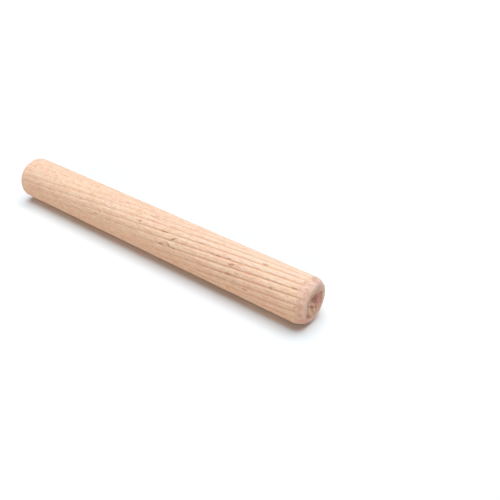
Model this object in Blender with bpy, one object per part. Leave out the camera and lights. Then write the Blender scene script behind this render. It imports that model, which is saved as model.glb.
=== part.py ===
# Fluted wooden dowel pin: one turned rod with shallow flutes that wind slowly round it,
# and a rounded chamfer at each end where the flutes run out.
# It lies along X on the plane z = 0, with its middle above the origin. Sizes are in metres.

import math

import bmesh
import bpy

# The rod, measured over the lands between the flutes
dowelLength = 0.100
dowelDiameter = 0.012

# The flutes: their turn is left-handed, counted from one chamfer to the other,
# and a land's crown is how far its middle stands above its edges
fluteCount = 22
fluteWidth = 0.00075
fluteDepth = 0.00028
fluteTurn = math.radians(90)
firstFluteAngle = math.radians(5.3)
landCrown = 0.00004

# The chamfers: their length along the rod, the radius they take off,
# how far their middle stands out from a straight cone, and the softened edge of the end face
chamferLength = 0.0016
chamferDrop = 0.0012
chamferBulge = 0.00012
arrisWidth = 0.0002

# How finely the curved faces are divided: the side has rings of points a share of a pitch apart in turn,
# so that the crowns of the lands line up along the rod
stepsPerPitch = 2
chamferBands = 2
sharpAngle = math.radians(40)

# The wood
woodColor = (0.80, 0.57, 0.38, 1.0)
woodRoughness = 0.62

rodRadius = dowelDiameter / 2
halfLength = dowelLength / 2
sideLength = dowelLength - 2 * chamferLength
pitchAngle = 2 * math.pi / fluteCount
fluteAngle = fluteWidth / rodRadius


def clearScene():
    for thing in list(bpy.data.objects):
        bpy.data.objects.remove(thing)


def makeWood():
    wood = bpy.data.materials.new("beech")
    wood.use_nodes = True
    shader = wood.node_tree.nodes["Principled BSDF"]
    shader.inputs["Base Color"].default_value = woodColor
    shader.inputs["Roughness"].default_value = woodRoughness
    shader.inputs["Metallic"].default_value = 0.0
    wood.diffuse_color = woodColor
    return wood


def columnsOfOnePitch():
    """Points across one flute and one land, as (angle from the flute's middle, depth below the crown)."""
    columns = []
    for place in (-1.0, -0.5, 0.0, 0.5):
        depth = landCrown + (fluteDepth - landCrown) * (1 - place * place)
        columns.append((place * fluteAngle / 2, depth))
    columns.append((fluteAngle / 2, landCrown))
    columns.append((pitchAngle / 2, 0.0))
    return columns


def chamferRadius(share):
    """Radius of the chamfer at a share of its length, counted from the side of the rod."""
    return rodRadius - chamferDrop * share + 4 * chamferBulge * share * (1 - share)


def runOutShare(depth):
    """Share of the chamfer's length at which it has cut down to a given depth, so that the flute ends there."""
    slope = chamferDrop - 4 * chamferBulge
    return 2 * depth / (slope + math.sqrt(slope * slope + 16 * chamferBulge * depth))


def halfColumn(depth):
    """Points of one column from its run-out to the end face, as (distance from the rod's middle, radius)."""
    start = runOutShare(depth)
    stop = 1 - arrisWidth / chamferLength
    points = []
    for band in range(chamferBands + 1):
        share = start + (stop - start) * band / chamferBands
        points.append((halfLength - chamferLength * (1 - share), chamferRadius(share)))
    points.append((halfLength, rodRadius - chamferDrop - arrisWidth))
    return points


def columnPoints(depth):
    """All points of one column from the -X end face to the +X end face, as (x, radius)."""
    ending = halfColumn(depth)
    runOut = ending[0][0]
    steps = max(1, round(stepsPerPitch * fluteTurn / pitchAngle))
    points = [(-x, radius) for x, radius in reversed(ending)]
    for step in range(1, steps):
        points.append((runOut * (2 * step / steps - 1), rodRadius - depth))
    return points + ending


def makeDowelMesh():
    shape = bmesh.new()
    columns = []
    for flute in range(fluteCount):
        for offset, depth in columnsOfOnePitch():
            column = []
            for x, radius in columnPoints(depth):
                angle = firstFluteAngle + flute * pitchAngle + offset - fluteTurn * x / sideLength
                column.append(shape.verts.new((x, radius * math.cos(angle), radius * math.sin(angle))))
            columns.append(column)
    for column, following in zip(columns, columns[1:] + columns[:1]):
        for row in range(len(column) - 1):
            shape.faces.new((column[row], following[row], following[row + 1], column[row + 1]))
    endFaces = [shape.faces.new([column[row] for column in columns]) for row in (0, -1)]
    bmesh.ops.poke(shape, faces=endFaces)
    bmesh.ops.recalc_face_normals(shape, faces=shape.faces)
    lowest = min(vertex.co.z for vertex in shape.verts)
    bmesh.ops.translate(shape, verts=shape.verts, vec=(0, 0, -lowest))
    mesh = bpy.data.meshes.new("dowel_pin")
    shape.to_mesh(mesh)
    shape.free()
    return mesh


def makeDowel():
    mesh = makeDowelMesh()
    mesh.shade_smooth()
    mesh.set_sharp_from_angle(angle=sharpAngle)
    mesh.materials.append(makeWood())
    dowel = bpy.data.objects.new("dowel_pin", mesh)
    bpy.context.scene.collection.objects.link(dowel)
    return dowel


clearScene()
makeDowel()
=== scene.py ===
# A fluted beech dowel pin lying on a white table.
# The pin is one mesh from a Geometry Nodes tree: a grid bent round into the rod, its flutes,
# its chamfers and its sawn ends. The wood is one solid material cut through in every direction.
# Shade in the flutes and a highlight along the top of the near half are painted into the wood's colour.

import math

import bpy
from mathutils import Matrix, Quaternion, Vector


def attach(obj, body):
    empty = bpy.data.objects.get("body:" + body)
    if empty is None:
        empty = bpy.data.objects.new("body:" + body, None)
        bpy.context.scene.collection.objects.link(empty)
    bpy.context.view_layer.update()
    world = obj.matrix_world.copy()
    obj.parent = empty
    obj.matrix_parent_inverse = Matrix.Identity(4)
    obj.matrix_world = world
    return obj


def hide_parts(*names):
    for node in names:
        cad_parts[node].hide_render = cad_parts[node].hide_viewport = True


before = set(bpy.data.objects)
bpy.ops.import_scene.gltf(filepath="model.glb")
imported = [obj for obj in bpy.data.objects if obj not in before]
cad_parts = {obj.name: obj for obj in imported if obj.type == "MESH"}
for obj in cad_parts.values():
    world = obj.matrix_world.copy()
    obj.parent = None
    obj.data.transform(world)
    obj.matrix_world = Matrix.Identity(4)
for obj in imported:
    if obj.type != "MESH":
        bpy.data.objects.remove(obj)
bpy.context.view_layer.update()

mm = 0.001
radiusInMm = 6.0                        # the rod's, for patterns that are measured in mm


# A colour as a screen shows it, 0 to 255, as the linear one that a shader takes
def fromScreen(red, green, blue):
    channels = []
    for value in (red, green, blue):
        share = value / 255
        channels.append(share / 12.92 if share <= 0.04045 else ((share + 0.055) / 1.055) ** 2.4)
    return (*channels, 1.0)


# Small helpers for building node trees: a value is a number or the socket of another node

def addNode(tree, kind, inputs=None, **settings):
    node = tree.nodes.new(kind)
    for name, value in settings.items():
        setattr(node, name, value)
    for name, value in (inputs or {}).items():
        if isinstance(value, bpy.types.NodeSocket):
            tree.links.new(value, node.inputs[name])
        else:
            node.inputs[name].default_value = value
    return node


def calc(tree, operation, *values):
    return addNode(tree, "ShaderNodeMath", dict(enumerate(values)), operation=operation).outputs[0]


def add(tree, *values):
    total = values[0]
    for value in values[1:]:
        total = calc(tree, "ADD", total, value)
    return total


def multiply(tree, *values):
    product = values[0]
    for value in values[1:]:
        product = calc(tree, "MULTIPLY", product, value)
    return product


def subtract(tree, first, second):
    return calc(tree, "SUBTRACT", first, second)


def divide(tree, first, second):
    return calc(tree, "DIVIDE", first, second)


# The first value where the share is 0, the second where it is 1
def between(tree, share, first, second):
    return add(tree, first, multiply(tree, share, subtract(tree, second, first)))


def limit(tree, value):
    return calc(tree, "MINIMUM", calc(tree, "MAXIMUM", value, 0.0), 1.0)


# Goes from start to end while the value goes from low to high
def ramp(tree, value, low, high, start=0.0, end=1.0, kind="SMOOTHSTEP"):
    names = {"Value": value, "From Min": low, "From Max": high, "To Min": start, "To Max": end}
    return addNode(tree, "ShaderNodeMapRange", names, interpolation_type=kind, clamp=True).outputs[0]


def joined(tree, x, y, z):
    return addNode(tree, "ShaderNodeCombineXYZ", {0: x, 1: y, 2: z}).outputs[0]


def vector(tree, operation, *values):
    return addNode(tree, "ShaderNodeVectorMath", dict(enumerate(values)), operation=operation).outputs[0]


def length(tree, value):
    return addNode(tree, "ShaderNodeVectorMath", {0: value}, operation="LENGTH").outputs["Value"]


# Places seen from the middle of a patch that is turned about Z,
# in shares of its half length and half width
def inPatch(tree, place, middle, tilt, halfLong, halfWide):
    moved = vector(tree, "SUBTRACT", place, middle)
    turned = addNode(tree, "ShaderNodeVectorRotate", {"Vector": moved, "Angle": -math.radians(tilt)},
                     rotation_type="Z_AXIS").outputs[0]
    return vector(tree, "DIVIDE", turned, (halfLong, halfWide, 1.0))


def noise(tree, place, detail=2.0, roughness=0.5):
    names = {"Vector": place, "Scale": 1.0, "Detail": detail, "Roughness": roughness}
    return addNode(tree, "ShaderNodeTexNoise", names, noise_dimensions="3D").outputs[0]


# The pin

dowel = {
    "Length": 100.0 * mm,
    "Diameter": 11.98 * mm,
    "Flute Count": 22,
    "Near Flute Width": 0.72 * mm,      # the flutes are pressed in less towards the far end
    "Near Flute Depth": 0.165 * mm,
    "Far Flute Width": 0.95 * mm,
    "Far Flute Depth": 0.03 * mm,
    "Flute Turn": math.radians(90),     # left-handed, over the turning length
    "Turning Length": 96.8 * mm,
    "First Flute": math.radians(6.7),
    "Shallow Until": -42.0 * mm,        # where along the pin the flutes begin to deepen
    "Deep From": 22.0 * mm,
    "Land Crown": 0.09 * mm,
    "Near Chamfer Short": 1.5 * mm,     # the near chamfer is uneven: longest on top, shortest in front
    "Near Chamfer Long": 3.1 * mm,
    "Near Drop Deep": 1.15 * mm,
    "Near Drop Shallow": 0.85 * mm,
    "Near Top": math.radians(105),
    "Near Foot": math.radians(255),
    "Near Foot Share": 0.75,            # of the way from short to long
    "Far Chamfer": 1.6 * mm,
    "Far Drop": 1.2 * mm,
    "Chamfer Bulge": 0.12 * mm,
    "Arris": 0.70 * mm,
    "Waviness": 0.05 * mm,              # slow unevenness of the side
    "Raggedness": 0.08 * mm,            # torn fibres in the flutes and on the chamfers
    "End Roughness": 0.12 * mm,
    "Tear Depth": 0.40 * mm,
    "Seed": 11.0,
}
pinGrid = {
    "rowsOfSide": 188,
    "rowsOfChamfer": 14,
    "rowsOfFace": 20,
    "rowsOfArris": 4,                   # the first rows of the face
    "pointsPerPitch": 16,
    "closeness": 0.45,                  # spacing of the points in a flute, to their mean spacing
    "mergeDistance": 0.001 * mm,
}
# What makes the pin uneven: how long and how wide its grains are in mm, their detail, their strength
unevenness = {
    "fluteWidth": (2.2, 0.5, 3.0, 0.9),
    "fluteDepth": (9.0, 1.6, 2.0, 1.6),
    "wave": (14.0, 3.0, 2.0, 1.0),
    "tufts": (1.3, 0.22, 3.0, 2.0),
    "chamfer": (0.55, 0.55, 3.0, 1.0),
    "arris": (1.0, 0.9, 3.0, 1.6),
}
endLayer = 5.0                          # keeps the roughness of the two ends apart
# Hollows where the near end has torn out: middle in Y and Z from the axis and half sizes in mm,
# tilt in degrees, share of the tear depth
tears = [
    (1.0, 1.1, 2.7, 1.4, -32, 1.0),
    (-2.5, -2.1, 1.2, 0.75, -40, 0.6),
    (-0.6, -0.8, 1.6, 0.6, -45, 0.4),
]


def dowelTree():
    tree = bpy.data.node_groups.new("flutedDowel", "GeometryNodeTree")
    for name, value in dowel.items():
        kind = "NodeSocketInt" if isinstance(value, int) else "NodeSocketFloat"
        socket = tree.interface.new_socket(name, in_out="INPUT", socket_type=kind)
        socket.default_value = value
    tree.interface.new_socket("Material", in_out="INPUT", socket_type="NodeSocketMaterial")
    tree.interface.new_socket("Geometry", in_out="OUTPUT", socket_type="NodeSocketGeometry")
    size = addNode(tree, "NodeGroupInput").outputs
    halfLength = multiply(tree, size["Length"], 0.5)
    radius = multiply(tree, size["Diameter"], 0.5)
    pitch = divide(tree, 2 * math.pi, size["Flute Count"])

    # A flat grid: X runs from one end face's middle to the other's, Y once round the rod
    rows = pinGrid["rowsOfSide"] + 2 * (pinGrid["rowsOfChamfer"] + pinGrid["rowsOfFace"])
    around = dowel["Flute Count"] * pinGrid["pointsPerPitch"]
    sheet = addNode(tree, "GeometryNodeMeshGrid",
                    {"Size X": 2.0, "Size Y": 1.0, "Vertices X": rows + 1, "Vertices Y": around + 1})
    sheetPlace = addNode(tree, "GeometryNodeInputPosition").outputs[0]
    place = addNode(tree, "ShaderNodeSeparateXYZ", {0: sheetPlace})
    along = place.outputs["X"]
    side = calc(tree, "SIGN", along)
    near = calc(tree, "GREATER_THAN", along, 0.0)
    reach = calc(tree, "ABSOLUTE", along)
    sideShare = pinGrid["rowsOfSide"] / rows
    chamferShare = 2 * pinGrid["rowsOfChamfer"] / rows
    faceStart = sideShare + chamferShare
    bodyPart = limit(tree, divide(tree, reach, sideShare))
    chamferPart = limit(tree, divide(tree, subtract(tree, reach, sideShare), chamferShare))
    facePart = limit(tree, divide(tree, subtract(tree, reach, faceStart), 1 - faceStart))
    arrisShare = pinGrid["rowsOfArris"] / pinGrid["rowsOfFace"]
    arrisPart = limit(tree, divide(tree, facePart, arrisShare))
    innerPart = limit(tree, divide(tree, subtract(tree, facePart, arrisShare), 1 - arrisShare))

    # Round the rod: whole pitches, and the place within one, with more points in the flute than
    # on the land
    steps = multiply(tree, add(tree, place.outputs["Y"], 0.5), around)
    pitches = divide(tree, calc(tree, "ROUND", steps), pinGrid["pointsPerPitch"])
    whole = calc(tree, "FLOOR", pitches)
    within = subtract(tree, subtract(tree, pitches, whole), 0.5)
    spacing = add(tree, pinGrid["closeness"],
                  multiply(tree, within, within, 4 * (1 - pinGrid["closeness"])))
    spread = multiply(tree, within, spacing)
    turnStart = add(tree, size["First Flute"], multiply(tree, add(tree, whole, spread), pitch))
    turnRate = divide(tree, size["Flute Turn"], size["Turning Length"])
    roughX = multiply(tree, side, bodyPart, halfLength)
    turn = subtract(tree, turnStart, multiply(tree, roughX, turnRate))
    rimPlace = joined(tree, multiply(tree, roughX, 1 / mm),
                      multiply(tree, calc(tree, "COSINE", turn), radiusInMm),
                      multiply(tree, calc(tree, "SINE", turn), radiusInMm))
    seeded = vector(tree, "ADD", rimPlace, joined(tree, size["Seed"], size["Seed"], size["Seed"]))

    # Noise about 0 for one kind of unevenness
    def sideNoise(kind, where=seeded):
        lengthwise, crosswise, detail, strength = unevenness[kind]
        stretched = vector(tree, "MULTIPLY", where, (1 / lengthwise, 1 / crosswise, 1 / crosswise))
        return multiply(tree, subtract(tree, noise(tree, stretched, detail), 0.5), strength)

    # Across one flute: a V with a rounded bottom, uneven along its length and ragged at its lips
    arc = multiply(tree, calc(tree, "ABSOLUTE", spread), pitch, radius)
    halfPitch = multiply(tree, pitch, radius, 0.5)
    nearness = ramp(tree, roughX, size["Shallow Until"], size["Deep From"], kind="LINEAR")
    widthHere = between(tree, nearness, size["Far Flute Width"], size["Near Flute Width"])
    halfWidth = multiply(tree, widthHere, 0.5, add(tree, 1.0, sideNoise("fluteWidth")))
    across = limit(tree, divide(tree, arc, halfWidth))
    bowl = subtract(tree, 1.0, calc(tree, "POWER", across, 1.5))
    fullDepth = between(tree, nearness, size["Far Flute Depth"], size["Near Flute Depth"])
    depthHere = multiply(tree, fullDepth, add(tree, 1.0, sideNoise("fluteDepth")))
    landPart = subtract(tree, 1.0, limit(tree, divide(tree, arc, halfPitch)))
    crownShare = between(tree, nearness, 0.35, 1.0)
    crown = multiply(tree, size["Land Crown"], landPart, landPart, crownShare)
    wave = multiply(tree, size["Waviness"], add(tree, 0.5, sideNoise("wave")))
    tufts = calc(tree, "MAXIMUM", 0.0, sideNoise("tufts"))
    torn = multiply(tree, size["Raggedness"], tufts, add(tree, 0.35, bowl))
    depth = add(tree, multiply(tree, depthHere, bowl), crown, wave, torn)

    # The chamfer cuts down through the flutes, so each column runs out at its own depth
    towardTop = calc(tree, "COSINE", subtract(tree, turn, size["Near Top"]))
    towardFoot = calc(tree, "COSINE", subtract(tree, turn, size["Near Foot"]))
    topPart = ramp(tree, towardTop, 0.05, 0.95)
    footPart = ramp(tree, towardFoot, 0.30, 0.95, 0.0, size["Near Foot Share"])
    longPart = calc(tree, "MAXIMUM", topPart, footPart)
    nearLength = between(tree, longPart, size["Near Chamfer Short"], size["Near Chamfer Long"])
    nearDrop = between(tree, topPart, size["Near Drop Deep"], size["Near Drop Shallow"])
    chamferLength = between(tree, near, size["Far Chamfer"], nearLength)
    drop = between(tree, near, size["Far Drop"], nearDrop)
    bulge4 = multiply(tree, size["Chamfer Bulge"], 4.0)
    slope = subtract(tree, drop, bulge4)
    root = calc(tree, "SQRT", add(tree, multiply(tree, slope, slope),
                                  multiply(tree, 4.0, bulge4, depth)))
    runOut = divide(tree, multiply(tree, 2.0, depth), add(tree, slope, root))
    arris = multiply(tree, size["Arris"], add(tree, 1.0, sideNoise("arris")))
    stop = subtract(tree, 1.0, divide(tree, arris, chamferLength))
    share = between(tree, chamferPart, runOut, stop)
    chamferPlace = vector(tree, "ADD", seeded, joined(tree, multiply(tree, share, 2.5), 0.0, 0.0))
    chamferRough = multiply(tree, size["Raggedness"], ramp(tree, chamferPart, 0.0, 0.15),
                            add(tree, 0.5, sideNoise("chamfer", chamferPlace)))
    chamferRadius = add(tree, subtract(tree, radius, multiply(tree, drop, share)),
                        multiply(tree, bulge4, share, subtract(tree, 1.0, share)))
    rimRadius = subtract(tree, chamferRadius, chamferRough)
    sideEnd = subtract(tree, halfLength, multiply(tree, chamferLength, subtract(tree, 1.0, share)))

    # The arris rounds the chamfer over into the face: from the chamfer's last row, bent towards
    # the sharp corner, to the rim of the face
    fromChamfer = multiply(tree, subtract(tree, 1.0, arrisPart), subtract(tree, 1.0, arrisPart))
    byCorner = multiply(tree, 2.0, arrisPart, subtract(tree, 1.0, arrisPart))
    intoFace = multiply(tree, arrisPart, arrisPart)
    corner = subtract(tree, radius, drop)
    arrisRadius = add(tree, multiply(tree, fromChamfer, rimRadius), multiply(tree, byCorner, corner),
                      multiply(tree, intoFace, subtract(tree, corner, arris)))
    finalRadius = multiply(tree, arrisRadius, subtract(tree, 1.0, innerPart))
    shortOfFace = multiply(tree, fromChamfer, subtract(tree, halfLength, sideEnd))
    finalX = multiply(tree, bodyPart, subtract(tree, halfLength, shortOfFace))
    finalTurn = subtract(tree, turnStart, multiply(tree, side, finalX, turnRate))
    y = multiply(tree, finalRadius, calc(tree, "COSINE", finalTurn))
    z = multiply(tree, finalRadius, calc(tree, "SINE", finalTurn))

    # The sawn ends: rough, and hollow on the near one where the wood has torn out
    facePlace = joined(tree, multiply(tree, y, 1 / mm), multiply(tree, z, 1 / mm),
                       multiply(tree, side, endLayer))
    faceNoise = noise(tree, vector(tree, "MULTIPLY", facePlace, (1.7, 1.7, 1.0)), 4.0, 0.6)
    edgeNoise = multiply(tree, subtract(tree, faceNoise, 0.5), 1.8)
    tear = 0.0
    for middleY, middleZ, halfLong, halfWide, tilt, deep in tears:
        nearTear = inPatch(tree, facePlace, (middleY, middleZ, endLayer), tilt, halfLong, halfWide)
        hollow = ramp(tree, add(tree, length(tree, nearTear), edgeNoise), 1.25, 0.55, 0.0, deep)
        tear = calc(tree, "MAXIMUM", tear, hollow)
    sunk = add(tree, multiply(tree, size["End Roughness"], faceNoise),
               multiply(tree, size["Tear Depth"], tear))
    onFace = ramp(tree, facePart, arrisShare * 0.4, arrisShare * 1.5)
    faceX = subtract(tree, finalX, multiply(tree, sunk, onFace))
    position = joined(tree, multiply(tree, side, faceX), y, add(tree, z, radius))

    # What the wood's material reads is stored while the grid is still flat, because its places are
    # what everything above is worked out from
    geometry = sheet.outputs["Mesh"]
    readings = {
        "chamfer": ramp(tree, chamferPart, 0.0, 0.12),
        "endFace": ramp(tree, facePart, 0.0, arrisShare * 1.8, kind="LINEAR"),
        "flute": multiply(tree, bowl, nearness, subtract(tree, 1.0, ramp(tree, chamferPart, 0.0, 0.12))),
    }
    for name, value in readings.items():
        stored = addNode(tree, "GeometryNodeStoreNamedAttribute",
                         {"Geometry": geometry, "Name": name, "Value": value},
                         data_type="FLOAT", domain="POINT")
        geometry = stored.outputs[0]
    bent = addNode(tree, "GeometryNodeSetPosition", {"Geometry": geometry, "Position": position})
    outward = addNode(tree, "GeometryNodeFlipFaces", {"Mesh": bent.outputs[0]})
    closed = addNode(tree, "GeometryNodeMergeByDistance",
                     {"Geometry": outward.outputs[0], "Distance": pinGrid["mergeDistance"]})
    smooth = addNode(tree, "GeometryNodeSetShadeSmooth", {"Geometry": closed.outputs[0]})
    realized = addNode(tree, "GeometryNodeRealizeInstances", {"Geometry": smooth.outputs[0]})
    painted = addNode(tree, "GeometryNodeSetMaterial",
                      {"Geometry": realized.outputs[0], "Material": size["Material"]})
    output = addNode(tree, "NodeGroupOutput")
    tree.links.new(painted.outputs[0], output.inputs[0])
    return tree


# Runs a Geometry Nodes tree on an empty mesh and keeps the result as a plain mesh
def makeFromTree(name, tree, values):
    holder = bpy.data.objects.new(name + "Source", bpy.data.meshes.new(name + "Source"))
    bpy.context.scene.collection.objects.link(holder)
    modifier = holder.modifiers.new("nodes", "NODES")
    modifier.node_group = tree
    for socket in tree.interface.items_tree:
        if socket.in_out == "INPUT" and socket.name in values:
            modifier[socket.identifier] = values[socket.name]
    graph = bpy.context.evaluated_depsgraph_get()
    mesh = bpy.data.meshes.new_from_object(holder.evaluated_get(graph))
    holder.modifiers.remove(modifier)
    bpy.data.objects.remove(holder)
    piece = bpy.data.objects.new(name, mesh)
    bpy.context.scene.collection.objects.link(piece)
    return piece


# The wood

beech = {
    "light": fromScreen(255, 230, 208),
    "dark": fromScreen(255, 208, 177),
    "pink": fromScreen(255, 205, 184),
    "yellow": fromScreen(255, 214, 182),
    "fleck": fromScreen(176, 122, 88),
    "redFleck": fromScreen(196, 126, 102),
    "flute": fromScreen(238, 178, 142),
    "chamfer": fromScreen(255, 211, 193),
    "chamferDark": fromScreen(222, 171, 149),
    "farChamfer": fromScreen(252, 188, 160),
    "rim": fromScreen(255, 216, 198),
    "farRim": fromScreen(228, 174, 150),
    "end": fromScreen(255, 210, 184),
    "endDark": fromScreen(224, 168, 138),
    "endGrey": fromScreen(230, 196, 190),
    "torn": fromScreen(172, 108, 94),
    "tornPink": fromScreen(236, 170, 158),
    "pithTurn": math.radians(45),       # which way the tree's middle lay
    "ringWidth": 2.1,                   # mm
    "ringWarp": (40.0, 5.0, 6.0),       # this and the next ones: mm along the grain, deep and wide
    "streaks": (24.0, 0.9, 0.9),
    "strands": (4.0, 0.36, 0.36),
    "dashes": (1.5, 0.42, 0.42),
    "fibres": (5.0, 0.15, 0.15),
    "patches": (9.0, 3.2, 3.2),
    "pores": (2.0, 0.14, 0.14),
    "smallRays": (2.4, 4.0, 0.42, 0.38, 0.22, 3.1),     # then reach, share that shows, shift
    "largeRays": (4.2, 6.0, 1.1, 0.26, 0.14, 8.7),
    "specks": (1.5, 1.5, 1.5),          # where the wood is cut across: grains to the mm in X, Y and Z
    "mottle": (0.8, 0.8, 0.8),
    "blotches": (0.3, 0.9, 0.6),
    "nearStart": 40.0,                  # mm along the pin: what is beyond it belongs to an end
    "roughness": (0.74, 0.56),          # between its fibres and on them
    "specular": 0.30,
    "bumpStrength": 0.6,
    "bumpDepth": 0.12 * mm,
}
# Stains on the near end, one of them also a painted highlight, laid over one another in this order:
# colour, middle in Y and Z from the axis and half sizes in mm, tilt in degrees, strength
stains = [
    ("endGrey", 0.3, 3.5, 2.8, 1.3, -8, 0.30),
    # Pale fuzzy fibres on the right edge of the face, made brighter still as a painted highlight where
    # light from the back catches it
    ("rim", 4.1, 0.0, 0.7, 2.4, 0, 0.60),
    ("rim", 2.2, -3.4, 2.0, 0.8, 32, 0.55),
    ("rim", -3.6, 1.2, 0.45, 2.4, 0, 0.70),
    ("tornPink", -3.0, -2.6, 1.4, 0.8, -52, 0.85),
    ("tornPink", 1.6, 0.1, 2.8, 1.3, -32, 0.70),
    ("tornPink", 1.4, -2.7, 0.9, 0.40, -45, 0.70),
    ("torn", -2.0, -2.6, 0.8, 0.5, -50, 0.60),
    ("torn", -0.9, -0.4, 1.5, 0.40, -45, 0.80),
    ("torn", 0.8, -1.3, 0.8, 0.30, -60, 0.60),
    ("torn", -0.9, 1.6, 1.0, 0.55, -40, 0.60),
    ("torn", 0.7, 1.1, 1.8, 0.90, -28, 0.80),
    ("torn", 2.7, 1.7, 0.7, 0.45, -50, 0.50),
    ("tornPink", 2.9, -0.6, 0.9, 0.45, -30, 0.85),
]
# And on the rim round it
rimStains = [
    ("endGrey", 1.8, 4.3, 1.8, 0.7, -20, 0.70),
    ("tornPink", -3.4, -3.1, 1.9, 0.8, -48, 0.75),
]
# Dark flecks that stand out on the front of the side: mm along the pin, degrees up round it,
# half length and half width in mm, slant in degrees, strength, share of red
marks = [
    (10.6, 41.3, 1.15, 0.28, 30, 0.75, 0.35),
    (29.1, 44.6, 1.10, 0.30, 14, 0.75, 0.90),
    (7.1, 50.3, 1.20, 0.26, 4, 0.45, 0.20),
    (-1.4, 49.0, 0.70, 0.30, 8, 0.75, 0.60),
    (24.6, 50.9, 0.75, 0.24, 6, 0.50, 0.10),
    (27.5, 54.3, 0.90, 0.26, 10, 0.52, 0.10),
    (18.4, 62.0, 1.40, 0.22, 3, 0.32, 0.20),
    (1.6, 76.5, 1.60, 0.20, 3, 0.45, 0.20),
    (-8.8, 83.3, 0.70, 0.24, 5, 0.45, 0.10),
    (36.5, 79.0, 0.95, 0.24, 6, 0.50, 0.10),
    (46.4, 54.7, 0.70, 0.22, 6, 0.40, 0.20),
    (7.3, 18.4, 1.05, 0.28, 5, 0.70, 0.30),
    (9.8, 24.8, 1.05, 0.26, -34, 0.75, 0.30),
    (11.3, 20.4, 0.85, 0.26, 0, 0.70, 0.30),
    (28.9, 21.6, 0.95, 0.28, 4, 0.75, 0.30),
    (-16.5, 19.0, 0.75, 0.22, 6, 0.50, 0.30),
    (-12.0, 17.3, 1.00, 0.17, 4, 0.45, 0.30),
    (34.2, 2.6, 0.95, 0.24, 4, 0.55, 0.80),
    (40.9, 34.0, 0.45, 0.20, 8, 0.60, 0.20),
    (-40.3, 13.5, 0.65, 0.22, 5, 0.50, 0.20),
]


def colorMix(tree, factor, first, second):
    mix = addNode(tree, "ShaderNodeMix", data_type="RGBA")
    for index, value in ((0, factor), (6, first), (7, second)):
        if isinstance(value, bpy.types.NodeSocket):
            tree.links.new(value, mix.inputs[index])
        else:
            mix.inputs[index].default_value = value
    return mix.outputs[2]


# The wood's own coordinates, in which a pattern of size 1 is that many mm long, deep and wide
def grained(tree, place, lengthwise, radial, tangential):
    return vector(tree, "MULTIPLY", place, (1 / lengthwise, 1 / radial, 1 / tangential))


def cellPattern(tree, place):
    names = {"Vector": place, "Scale": 1.0, "Randomness": 1.0}
    return addNode(tree, "ShaderNodeTexVoronoi", names, feature="F1").outputs


# Flat ribbons that run out from the pith, which the side cuts through as short dashes
def rays(tree, wood, lengthwise, radial, tangential, reach, share, shift):
    stretched = grained(tree, wood, lengthwise, radial, tangential)
    cells = cellPattern(tree, vector(tree, "ADD", stretched, (shift, shift, shift)))
    pick = addNode(tree, "ShaderNodeSeparateColor", {0: cells["Color"]}).outputs
    chosen = calc(tree, "LESS_THAN", pick[0], share)
    strength = add(tree, 0.45, multiply(tree, pick[1], 0.55))
    return multiply(tree, ramp(tree, cells["Distance"], reach, reach * 0.45), chosen, strength)


# A colour with stains laid on it, frayed at their edges
def stained(tree, color, patches, place, fray, share):
    for name, y, z, halfLong, halfWide, tilt, strength in patches:
        stain = inPatch(tree, place, (y, z, 0.0), tilt, halfLong, halfWide)
        cover = ramp(tree, add(tree, length(tree, stain), fray), 1.35, 0.55, 0.0, strength)
        color = colorMix(tree, multiply(tree, cover, share), color, beech[name])
    return color


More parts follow.
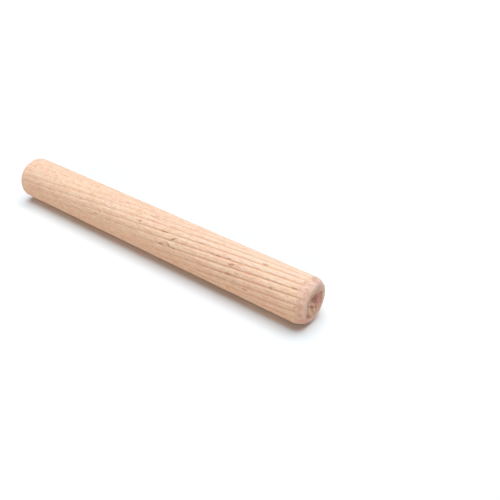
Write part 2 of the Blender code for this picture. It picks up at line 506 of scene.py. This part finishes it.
def beechMaterial():
    material = bpy.data.materials.new("beech")
    material.use_nodes = True
    tree = material.node_tree
    shader = tree.nodes["Principled BSDF"]
    coordinates = addNode(tree, "ShaderNodeTexCoord").outputs["Object"]
    centred = vector(tree, "SUBTRACT", coordinates, (0.0, 0.0, radiusInMm * mm))
    millimetres = vector(tree, "MULTIPLY", centred, (1 / mm, 1 / mm, 1 / mm))
    wood = addNode(tree, "ShaderNodeMapping", {"Vector": millimetres,
                   "Rotation": (beech["pithTurn"], 0.0, 0.0)}).outputs[0]
    parts = addNode(tree, "ShaderNodeSeparateXYZ", {0: wood}).outputs
    flat = addNode(tree, "ShaderNodeSeparateXYZ", {0: millimetres}).outputs
    reading = {name: addNode(tree, "ShaderNodeAttribute", attribute_name=name).outputs["Fac"]
               for name in ("chamfer", "endFace", "flute")}

    # Growth rings: nearly flat sheets, darker at the end of each year's wood
    warpNoise = noise(tree, grained(tree, wood, *beech["ringWarp"]))
    warp = multiply(tree, subtract(tree, warpNoise, 0.5), 2.4)
    curve = multiply(tree, parts["Z"], parts["Z"], 0.012)
    year = calc(tree, "FRACT", divide(tree, add(tree, parts["Y"], curve, warp), beech["ringWidth"]))
    lateWood = multiply(tree, ramp(tree, year, 0.45, 0.95), ramp(tree, year, 1.0, 0.97))

    # Streaks, fibres and pores are long with the grain and so are dots where the wood is cut across
    streaks = noise(tree, grained(tree, wood, *beech["streaks"]), 3.0, 0.6)
    strands = noise(tree, grained(tree, wood, *beech["strands"]), 3.0, 0.65)
    dashes = noise(tree, grained(tree, wood, *beech["dashes"]), 3.0, 0.7)
    fibres = noise(tree, grained(tree, wood, *beech["fibres"]), 3.0, 0.65)
    patches = noise(tree, grained(tree, wood, *beech["patches"]), 2.0, 0.5)
    pores = cellPattern(tree, grained(tree, wood, *beech["pores"]))["Distance"]
    poreDark = ramp(tree, pores, 0.35, 0.12)
    smallRays = rays(tree, wood, *beech["smallRays"])
    largeRays = rays(tree, wood, *beech["largeRays"])

    color = colorMix(tree, ramp(tree, streaks, 0.25, 0.75, 0.15, 0.85), beech["dark"], beech["light"])
    color = colorMix(tree, ramp(tree, flat["X"], 42.0, -25.0, 0.0, 0.50), color, beech["dark"])
    color = colorMix(tree, ramp(tree, patches, 0.48, 0.66, 0.0, 0.75), color, beech["pink"])
    color = colorMix(tree, ramp(tree, patches, 0.42, 0.26, 0.0, 0.75), color, beech["yellow"])
    color = colorMix(tree, multiply(tree, lateWood, 0.25), color, beech["dark"])
    color = colorMix(tree, ramp(tree, strands, 0.54, 0.30, 0.0, 0.66), color, beech["flute"])
    color = colorMix(tree, ramp(tree, strands, 0.52, 0.68, 0.0, 0.75), color, beech["light"])
    color = colorMix(tree, ramp(tree, dashes, 0.52, 0.34, 0.0, 0.78), color, beech["flute"])
    color = colorMix(tree, ramp(tree, dashes, 0.54, 0.68, 0.0, 0.85), color, beech["light"])
    color = colorMix(tree, ramp(tree, fibres, 0.60, 0.32, 0.0, 0.55), color, beech["dark"])
    color = colorMix(tree, multiply(tree, poreDark, 0.12), color, beech["fleck"])
    color = colorMix(tree, multiply(tree, smallRays, 0.30), color, beech["fleck"])
    color = colorMix(tree, multiply(tree, largeRays, 0.30), color, beech["fleck"])
    onTop = ramp(tree, flat["Z"], 4.2, 5.8)
    # Painted highlight: the top of the near half is made paler, as if lit from above.
    paintedTopHighlight = multiply(tree, onTop, ramp(tree, flat["X"], 0.0, 35.0), 0.35)
    color = colorMix(tree, paintedTopHighlight, color, beech["light"])
    # Painted shade: the flutes darken towards their bottoms, over the darker tone of the pressed wood,
    # and most on top, where the lamps leave them unshaded.
    fluteShadeStrength = between(tree, onTop, 0.48, 0.88)
    fluteShadeAndTone = multiply(tree, reading["flute"], reading["flute"], fluteShadeStrength)
    color = colorMix(tree, fluteShadeAndTone, color, beech["flute"])

    # The flecks that stand out, on the side rolled out flat
    angle = calc(tree, "ARCTAN2", flat["Z"], multiply(tree, flat["Y"], -1.0))
    rolled = joined(tree, flat["X"], multiply(tree, angle, radiusInMm), 0.0)
    ragged = multiply(tree, subtract(tree, strands, 0.5), 2.2)
    markDark = 0.0
    for x, degrees, halfLong, halfWide, slant, strength, red in marks:
        middle = (x, math.radians(degrees) * radiusInMm, 0.0)
        mark = inPatch(tree, rolled, middle, slant, halfLong, halfWide)
        dark = ramp(tree, add(tree, length(tree, mark), ragged), 1.25, 0.45, 0.0, strength)
        tint = colorMix(tree, red, beech["fleck"], beech["redFleck"])
        color = colorMix(tree, dark, color, tint)
        markDark = calc(tree, "MAXIMUM", markDark, dark)

    # Cut across: mottled on the chamfers, duller on the ends, with a pale fuzzy rim between them
    specks = noise(tree, vector(tree, "MULTIPLY", millimetres, beech["specks"]), 4.0, 0.7)
    mottle = noise(tree, vector(tree, "MULTIPLY", millimetres, beech["mottle"]), 4.0, 0.6)
    chamferColor = colorMix(tree, ramp(tree, mottle, 0.62, 0.40), beech["chamfer"], beech["chamferDark"])
    speckled = ramp(tree, specks, 0.54, 0.40, 0.0, 0.45)
    chamferColor = colorMix(tree, speckled, chamferColor, beech["chamferDark"])
    isFar = ramp(tree, flat["X"], -beech["nearStart"], -beech["nearStart"] - 1.0)
    chamferColor = colorMix(tree, multiply(tree, isFar, 0.5), chamferColor, beech["farChamfer"])
    color = colorMix(tree, multiply(tree, reading["chamfer"], 0.8), color, chamferColor)
    blotches = noise(tree, vector(tree, "MULTIPLY", millimetres, beech["blotches"]), 3.0, 0.6)
    endColor = colorMix(tree, ramp(tree, blotches, 0.62, 0.35), beech["end"], beech["endDark"])
    endColor = colorMix(tree, multiply(tree, lateWood, 0.30), endColor, beech["endDark"])
    endColor = colorMix(tree, multiply(tree, smallRays, 0.3), endColor, beech["light"])
    isNear = ramp(tree, flat["X"], beech["nearStart"], beech["nearStart"] + 1.0)
    facePlace = joined(tree, flat["Y"], flat["Z"], 0.0)
    fray = multiply(tree, subtract(tree, specks, 0.5), 2.2)
    endColor = stained(tree, endColor, stains, facePlace, fray, isNear)
    endColor = colorMix(tree, ramp(tree, specks, 0.50, 0.34, 0.0, 0.5), endColor, beech["torn"])
    endColor = colorMix(tree, ramp(tree, specks, 0.54, 0.70, 0.0, 0.5), endColor, beech["rim"])
    endColor = colorMix(tree, multiply(tree, poreDark, 0.35), endColor, beech["torn"])
    raggedEdge = add(tree, reading["endFace"], multiply(tree, subtract(tree, specks, 0.5), 1.1))
    rim = multiply(tree, ramp(tree, raggedEdge, 0.05, 0.35), ramp(tree, raggedEdge, 1.10, 0.75))
    rimColor = stained(tree, beech["rim"], rimStains, facePlace, fray, isNear)
    rimColor = colorMix(tree, multiply(tree, isFar, 0.7), rimColor, beech["farRim"])
    color = colorMix(tree, multiply(tree, rim, 0.8), color, rimColor)
    color = colorMix(tree, ramp(tree, raggedEdge, 0.60, 0.90), color, endColor)
    tree.links.new(color, shader.inputs["Base Color"])

    roughness = ramp(tree, fibres, 0.2, 0.8, *beech["roughness"], "LINEAR")
    tree.links.new(roughness, shader.inputs["Roughness"])
    shader.inputs["Specular IOR Level"].default_value = beech["specular"]
    relief = multiply(tree, specks, reading["chamfer"], 2.5)
    for pattern, height in ((fibres, 0.5), (strands, 0.8), (poreDark, -0.3), (smallRays, -0.25),
                            (largeRays, -0.35), (markDark, -0.9)):
        relief = add(tree, relief, multiply(tree, pattern, height))
    bump = addNode(tree, "ShaderNodeBump", {"Strength": beech["bumpStrength"],
                   "Distance": beech["bumpDepth"], "Height": relief})
    tree.links.new(bump.outputs[0], shader.inputs["Normal"])
    return material


# The table and the light

table = {
    "size": 40.0,
    "color": fromScreen(254, 252, 254),
    "bounceColor": fromScreen(222, 216, 208),       # what it throws back up at the pin
    "glow": 0.006,                      # what the camera sees on top, so that the shadow stays cool
    "glowColor": (0.0, 1.0, 0.8, 1.0),
}
light = {
    "skyStrength": 0.07,
    "skyColor": (0.80, 1.04, 1.40, 1.0),
}
# Soft lamps: where each stands as a direction from the pin, how wide it looks from there
# in degrees, strength, colour
lamps = [
    ("softbox", (0.0, 0.15, 0.99), 62, 2.82, (1.0, 1.03, 1.025)),
    ("window", (0.0, -0.22, 0.97), 18, 0.34, (0.08, 0.72, 1.0)),        # cools the shadow's edge
    ("reflector", (0.28, -0.93, 0.24), 50, 0.84, (1.0, 0.81, 0.60)),
]


# 1 for what the camera sees itself or in a shiny or clear surface, otherwise 0
def seenStraight(tree):
    path = addNode(tree, "ShaderNodeLightPath").outputs
    seen = calc(tree, "MAXIMUM", path["Is Camera Ray"], path["Is Glossy Ray"])
    return calc(tree, "MAXIMUM", seen, path["Is Transmission Ray"])


def makeTable():
    bpy.ops.mesh.primitive_plane_add(size=table["size"])
    floor = bpy.context.object
    floor.name = "table"
    material = bpy.data.materials.new("table")
    material.use_nodes = True
    tree = material.node_tree
    shader = tree.nodes["Principled BSDF"]
    shader.inputs["Roughness"].default_value = 1.0
    shader.inputs["Specular IOR Level"].default_value = 0.0
    seen = seenStraight(tree)
    color = colorMix(tree, seen, table["bounceColor"], table["color"])
    tree.links.new(color, shader.inputs["Base Color"])
    shader.inputs["Emission Color"].default_value = table["glowColor"]
    tree.links.new(multiply(tree, seen, table["glow"]), shader.inputs["Emission Strength"])
    floor.data.materials.append(material)


def makeLight():
    world = bpy.data.worlds.new("studio")
    bpy.context.scene.world = world
    world.use_nodes = True
    tree = world.node_tree
    tree.nodes.clear()
    seen = seenStraight(tree)
    color = colorMix(tree, seen, light["skyColor"], (1.0, 1.0, 1.0, 1.0))
    strength = between(tree, seen, light["skyStrength"], 1.0)
    shader = addNode(tree, "ShaderNodeBackground", {"Color": color, "Strength": strength})
    output = addNode(tree, "ShaderNodeOutputWorld")
    tree.links.new(shader.outputs[0], output.inputs[0])
    for name, place, degrees, power, lampColor in lamps:
        lampData = bpy.data.lights.new(name, "SUN")
        lampData.angle = math.radians(degrees)
        lampData.energy = power
        lampData.color = lampColor
        lamp = bpy.data.objects.new(name, lampData)
        lamp.location = place
        lamp.rotation_mode = "QUATERNION"
        lamp.rotation_quaternion = (-Vector(place)).to_track_quat("-Z", "Y")
        bpy.context.scene.collection.objects.link(lamp)


camera = {
    "place": (106.2 * mm, -103.9 * mm, 98.7 * mm),
    "aim": (25.1 * mm, 8.6 * mm, 6.0 * mm),
    "roll": math.radians(1.72),
    "lens": 46.8,
    "sensorWidth": 36.0,
    "clipStart": 0.01,
    "clipEnd": 100.0,
}


def makeCamera():
    data = bpy.data.cameras.new("camera")
    data.sensor_width = camera["sensorWidth"]
    data.lens = camera["lens"]
    data.clip_start = camera["clipStart"]
    data.clip_end = camera["clipEnd"]
    view = bpy.data.objects.new("camera", data)
    bpy.context.scene.collection.objects.link(view)
    view.location = camera["place"]
    view.rotation_mode = "QUATERNION"
    looking = (Vector(camera["aim"]) - Vector(camera["place"])).to_track_quat("-Z", "Y")
    view.rotation_quaternion = looking @ Quaternion((0.0, 0.0, 1.0), camera["roll"])
    bpy.context.scene.camera = view


makeCamera()
makeLight()
makeTable()
print("stage ready")
pin = makeFromTree("pin", dowelTree(), {**dowel, "Material": beechMaterial()})
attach(pin, "root")
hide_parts("dowel_pin")
print("pin made:", len(pin.data.polygons), "faces")
bpy.context.scene.view_settings.view_transform = "Standard"
